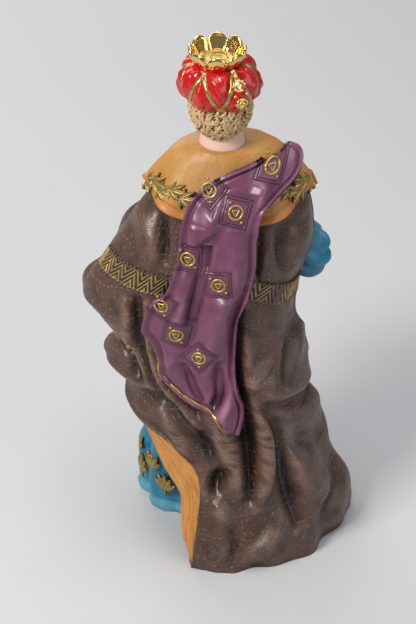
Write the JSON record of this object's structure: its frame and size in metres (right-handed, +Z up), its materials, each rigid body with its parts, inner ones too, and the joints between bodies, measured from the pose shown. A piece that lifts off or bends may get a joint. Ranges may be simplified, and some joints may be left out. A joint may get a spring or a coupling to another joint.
{
  "type": "nativity king figurine",
  "caption": "Painted porcelain standing king, about 268 mm tall: brown stitched cloak with train, tan cape, mauve stole, red turban, open gold crown, and a gift chest in both hands.",
  "frame": {"origin": "the mount 'base': the middle of the gown's flat underside, below the axis of the neck", "axes": "+Z up along the figure, +X towards the figure's left hand, -Y the way the figure faces"},
  "size_m": [0.1368, 0.1247, 0.2684],
  "materials": {
    "brown_cloak": "satin",
    "tan_lining": "matte",
    "tan_cape": "satin",
    "mauve_stole": "satin",
    "blue_gown": "satin",
    "gold_paint": "satin",
    "bright_gold": "polished",
    "red_turban": "gloss",
    "ruby_glaze": "gloss",
    "skin": "matte",
    "blond_hair": "matte",
    "plum_sash": "satin",
    "chest_paint": "satin",
    "shoe_paint": "satin"
  },
  "bodies": {
    "root": {"cloak_casting": "brown_cloak", "lower_left_lining": "tan_lining", "front_left_lining": "tan_lining", "front_right_lining": "tan_lining", "shoulder_cape": "tan_cape", "stole": "mauve_stole", "gown_lower_casting": "blue_gown", "tunic_casting": "blue_gown", "left_sleeve_casting": "blue_gown", "right_sleeve_casting": "blue_gown", "cloak_chevron_band": "gold_paint", "stole_medallions": "gold_paint", "stole_edge_trim": "gold_paint", "cape_leaf_trim": "gold_paint", "cape_clasp": "gold_paint", "gown_leaf_motifs": "gold_paint", "left_sleeve_cuff": "gold_paint", "right_sleeve_cuff": "gold_paint", "turban_ribbons": "gold_paint", "chest_plinth": "gold_paint", "chest_lid": "gold_paint", "chest_knob": "gold_paint", "crown": "bright_gold", "turban_clasp": "bright_gold", "turban": "red_turban", "clasp_ruby": "ruby_glaze", "head": "skin", "left_hand": "skin", "right_hand": "skin", "hair": "blond_hair", "beard": "blond_hair", "waist_sash": "plum_sash", "sash_tail": "plum_sash", "gift_chest": "chest_paint", "left_shoe": "shoe_paint", "right_shoe": "shoe_paint"}
  },
  "joints": []
}
